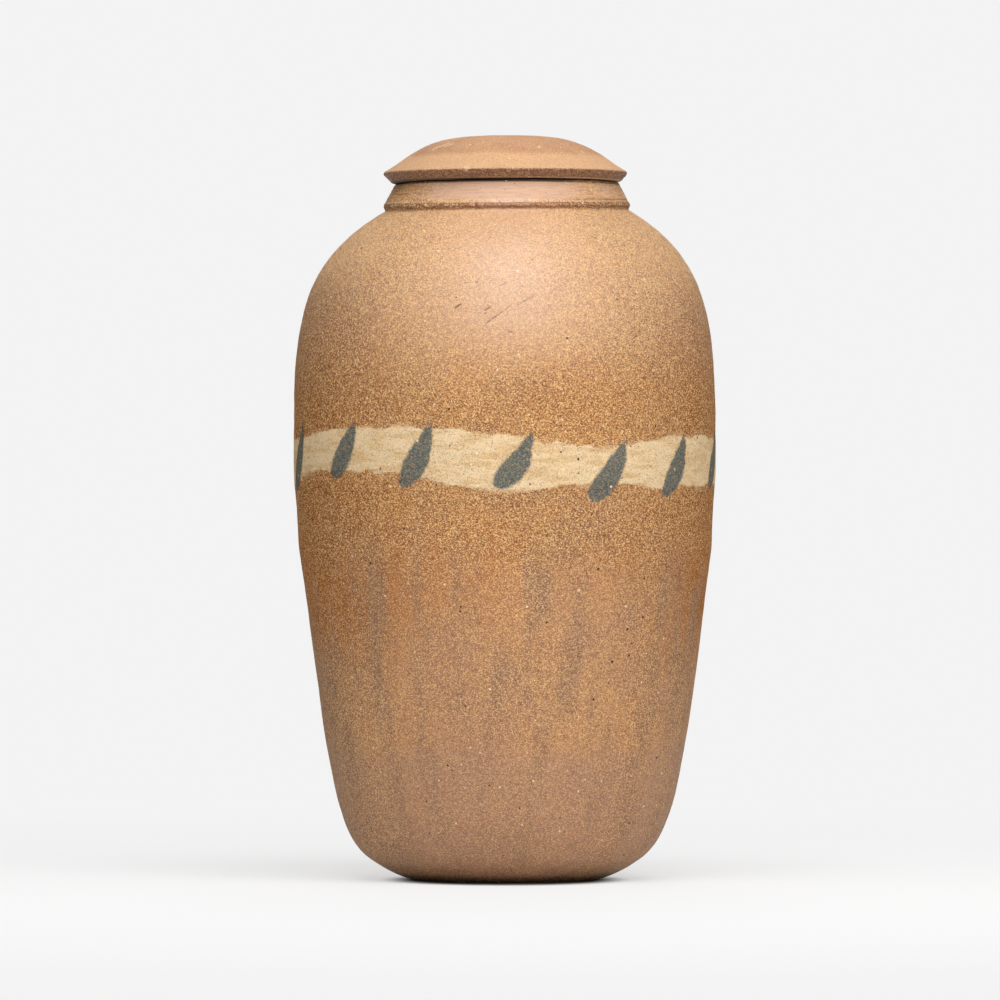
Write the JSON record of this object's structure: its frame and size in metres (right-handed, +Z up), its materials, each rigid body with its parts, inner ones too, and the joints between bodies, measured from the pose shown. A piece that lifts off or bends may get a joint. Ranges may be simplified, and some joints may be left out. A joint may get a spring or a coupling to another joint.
{
  "type": "covered jar",
  "caption": "Tall stoneware jar with a rounded shoulder, a low flared collar and a knobless domed lid that lifts off its rim.",
  "frame": {"origin": "centre of the foot ring, on the surface that the jar stands on", "axes": "+Z up along the axis that both pieces are turned about; the pictured side faces -Y"},
  "size_m": [0.2046, 0.2046, 0.36],
  "materials": {
    "body_stoneware": "unglazed grogged stoneware, matt, with a brushed slip band and blue-green dabs round the belly",
    "lid_stoneware": "unglazed grogged stoneware, matt, turned smooth on top and rough under its edge"
  },
  "bodies": {
    "jar": {"jar_body": "body_stoneware"},
    "cover": {"lid": "lid_stoneware"}
  },
  "joints": [
    {"name": "lid_lift", "type": "slide", "parent": "jar", "child": "cover", "axis": [0, 0, 1], "range_m": [0, 0.15]}
  ]
}
